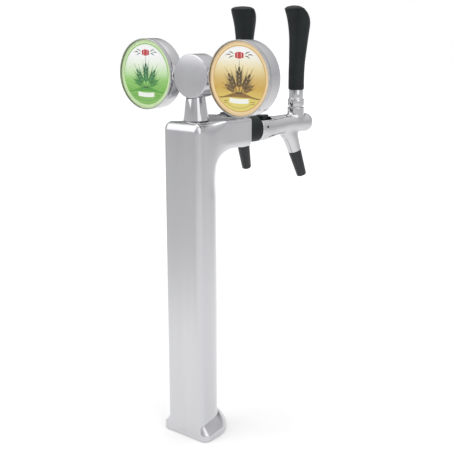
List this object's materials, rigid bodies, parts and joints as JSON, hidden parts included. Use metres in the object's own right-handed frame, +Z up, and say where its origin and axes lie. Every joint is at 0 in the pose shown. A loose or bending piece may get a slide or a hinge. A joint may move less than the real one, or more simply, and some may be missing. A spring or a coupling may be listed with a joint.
{
  "type": "beer tower dispenser",
  "caption": "Counter-top beer tower: a hollow D-section column with splayed arms, lever taps with flow control, and round badges on a post above.",
  "frame": {"origin": "on the counter, under the middle of the whole object's bounding box", "axes": "+Z up, +X to the right as the customer sees it, -Y towards the customer and +Y towards the bartender"},
  "size_m": [0.24, 0.2156, 0.564],
  "materials": {
    "satin_chrome": "satin",
    "bright_chrome": "polished",
    "steel": "turned",
    "bezel_metal": "fine brushed",
    "black_plastic": "satin",
    "nozzle_plastic": "satin",
    "seal_rubber": "matt",
    "line_tube": "gloss",
    "green_label": "printed",
    "gold_label": "printed",
    "clear_lens": "clear gloss"
  },
  "bodies": {
    "tower": {"tower_body": "satin_chrome", "base_gasket": "seal_rubber", "clamp_bar": "steel", "badge_post": "bright_chrome", "post_tie_rod": "steel", "post_nut": "steel", "hub_drum": "bright_chrome", "hub_back_cap": "bright_chrome", "badge_coupling_left": "bright_chrome", "badge_stud_left": "steel", "badge_nut_left": "steel", "badge_housing_left": "bright_chrome", "badge_label_left": "green_label", "badge_lens_left": "clear_lens", "badge_bezel_left": "bezel_metal", "badge_coupling_right": "bright_chrome", "badge_stud_right": "steel", "badge_nut_right": "steel", "badge_housing_right": "bright_chrome", "badge_label_right": "gold_label", "badge_lens_right": "clear_lens", "badge_bezel_right": "bezel_metal", "beverage_line_left": "line_tube", "collar_ring_left": "black_plastic", "shank_left": "steel", "shank_nut_left": "steel", "shank_seal_left": "seal_rubber", "line_ferrule_left": "steel", "tap_body_left": "bright_chrome", "set_screw_left": "black_plastic", "nozzle_tip_left": "nozzle_plastic", "bonnet_left": "bright_chrome", "lever_seal_left": "seal_rubber", "beverage_line_right": "line_tube", "collar_ring_right": "black_plastic", "shank_right": "steel", "shank_nut_right": "steel", "shank_seal_right": "seal_rubber", "line_ferrule_right": "steel", "tap_body_right": "bright_chrome", "set_screw_right": "black_plastic", "nozzle_tip_right": "nozzle_plastic", "bonnet_right": "bright_chrome", "lever_seal_right": "seal_rubber"},
    "lever_left": {"lever_stem_left": "steel", "lever_ferrule_left": "bright_chrome", "lever_handle_left": "black_plastic"},
    "lever_right": {"lever_stem_right": "steel", "lever_ferrule_right": "bright_chrome", "lever_handle_right": "black_plastic"},
    "valve_left": {"valve_shaft_left": "steel", "valve_seal_left": "seal_rubber"},
    "valve_right": {"valve_shaft_right": "steel", "valve_seal_right": "seal_rubber"},
    "control_left": {"control_shaft_left": "steel", "control_lever_left": "black_plastic"},
    "control_right": {"control_shaft_right": "steel", "control_lever_right": "black_plastic"},
    "cone_left": {"flow_cone_left": "steel"},
    "cone_right": {"flow_cone_right": "steel"}
  },
  "joints": [
    {"name": "lever_tilt_left", "type": "hinge", "parent": "tower", "child": "lever_left", "pos_m": [-0.04453, 0.08266, 0.4256], "axis": [-0.9632, -0.2689, 0], "range_deg": [-12, 25]},
    {"name": "lever_tilt_right", "type": "hinge", "parent": "tower", "child": "lever_right", "pos_m": [0.04453, 0.08266, 0.4256], "axis": [-0.9632, 0.2689, 0], "range_deg": [-12, 25]},
    {"name": "valve_slide_left", "type": "slide", "parent": "tower", "child": "valve_left", "axis": [-0.2689, 0.9632, 0], "range_m": [-0.008, 0.004]},
    {"name": "valve_slide_right", "type": "slide", "parent": "tower", "child": "valve_right", "axis": [0.2689, 0.9632, 0], "range_m": [-0.008, 0.004]},
    {"name": "control_turn_left", "type": "hinge", "parent": "tower", "child": "control_left", "pos_m": [-0.03015, 0.03113, 0.4056], "axis": [0, 0, 1], "range_deg": [-45, 45]},
    {"name": "control_turn_right", "type": "hinge", "parent": "tower", "child": "control_right", "pos_m": [0.03015, 0.03113, 0.4056], "axis": [0, 0, 1], "range_deg": [-45, 45]},
    {"name": "cone_slide_left", "type": "slide", "parent": "tower", "child": "cone_left", "axis": [-0.2689, 0.9632, 0], "range_m": [-0.00098, 0.00098]},
    {"name": "cone_slide_right", "type": "slide", "parent": "tower", "child": "cone_right", "axis": [0.2689, 0.9632, 0], "range_m": [-0.00098, 0.00098]}
  ],
  "couplings": [
    {"joint": "valve_slide_left", "follows": "lever_tilt_left", "m_per_rad": -0.0175},
    {"joint": "valve_slide_right", "follows": "lever_tilt_right", "m_per_rad": -0.0175},
    {"joint": "control_turn_left", "follows": "cone_slide_left", "rad_per_m": 793.65},
    {"joint": "control_turn_right", "follows": "cone_slide_right", "rad_per_m": 793.65}
  ]
}
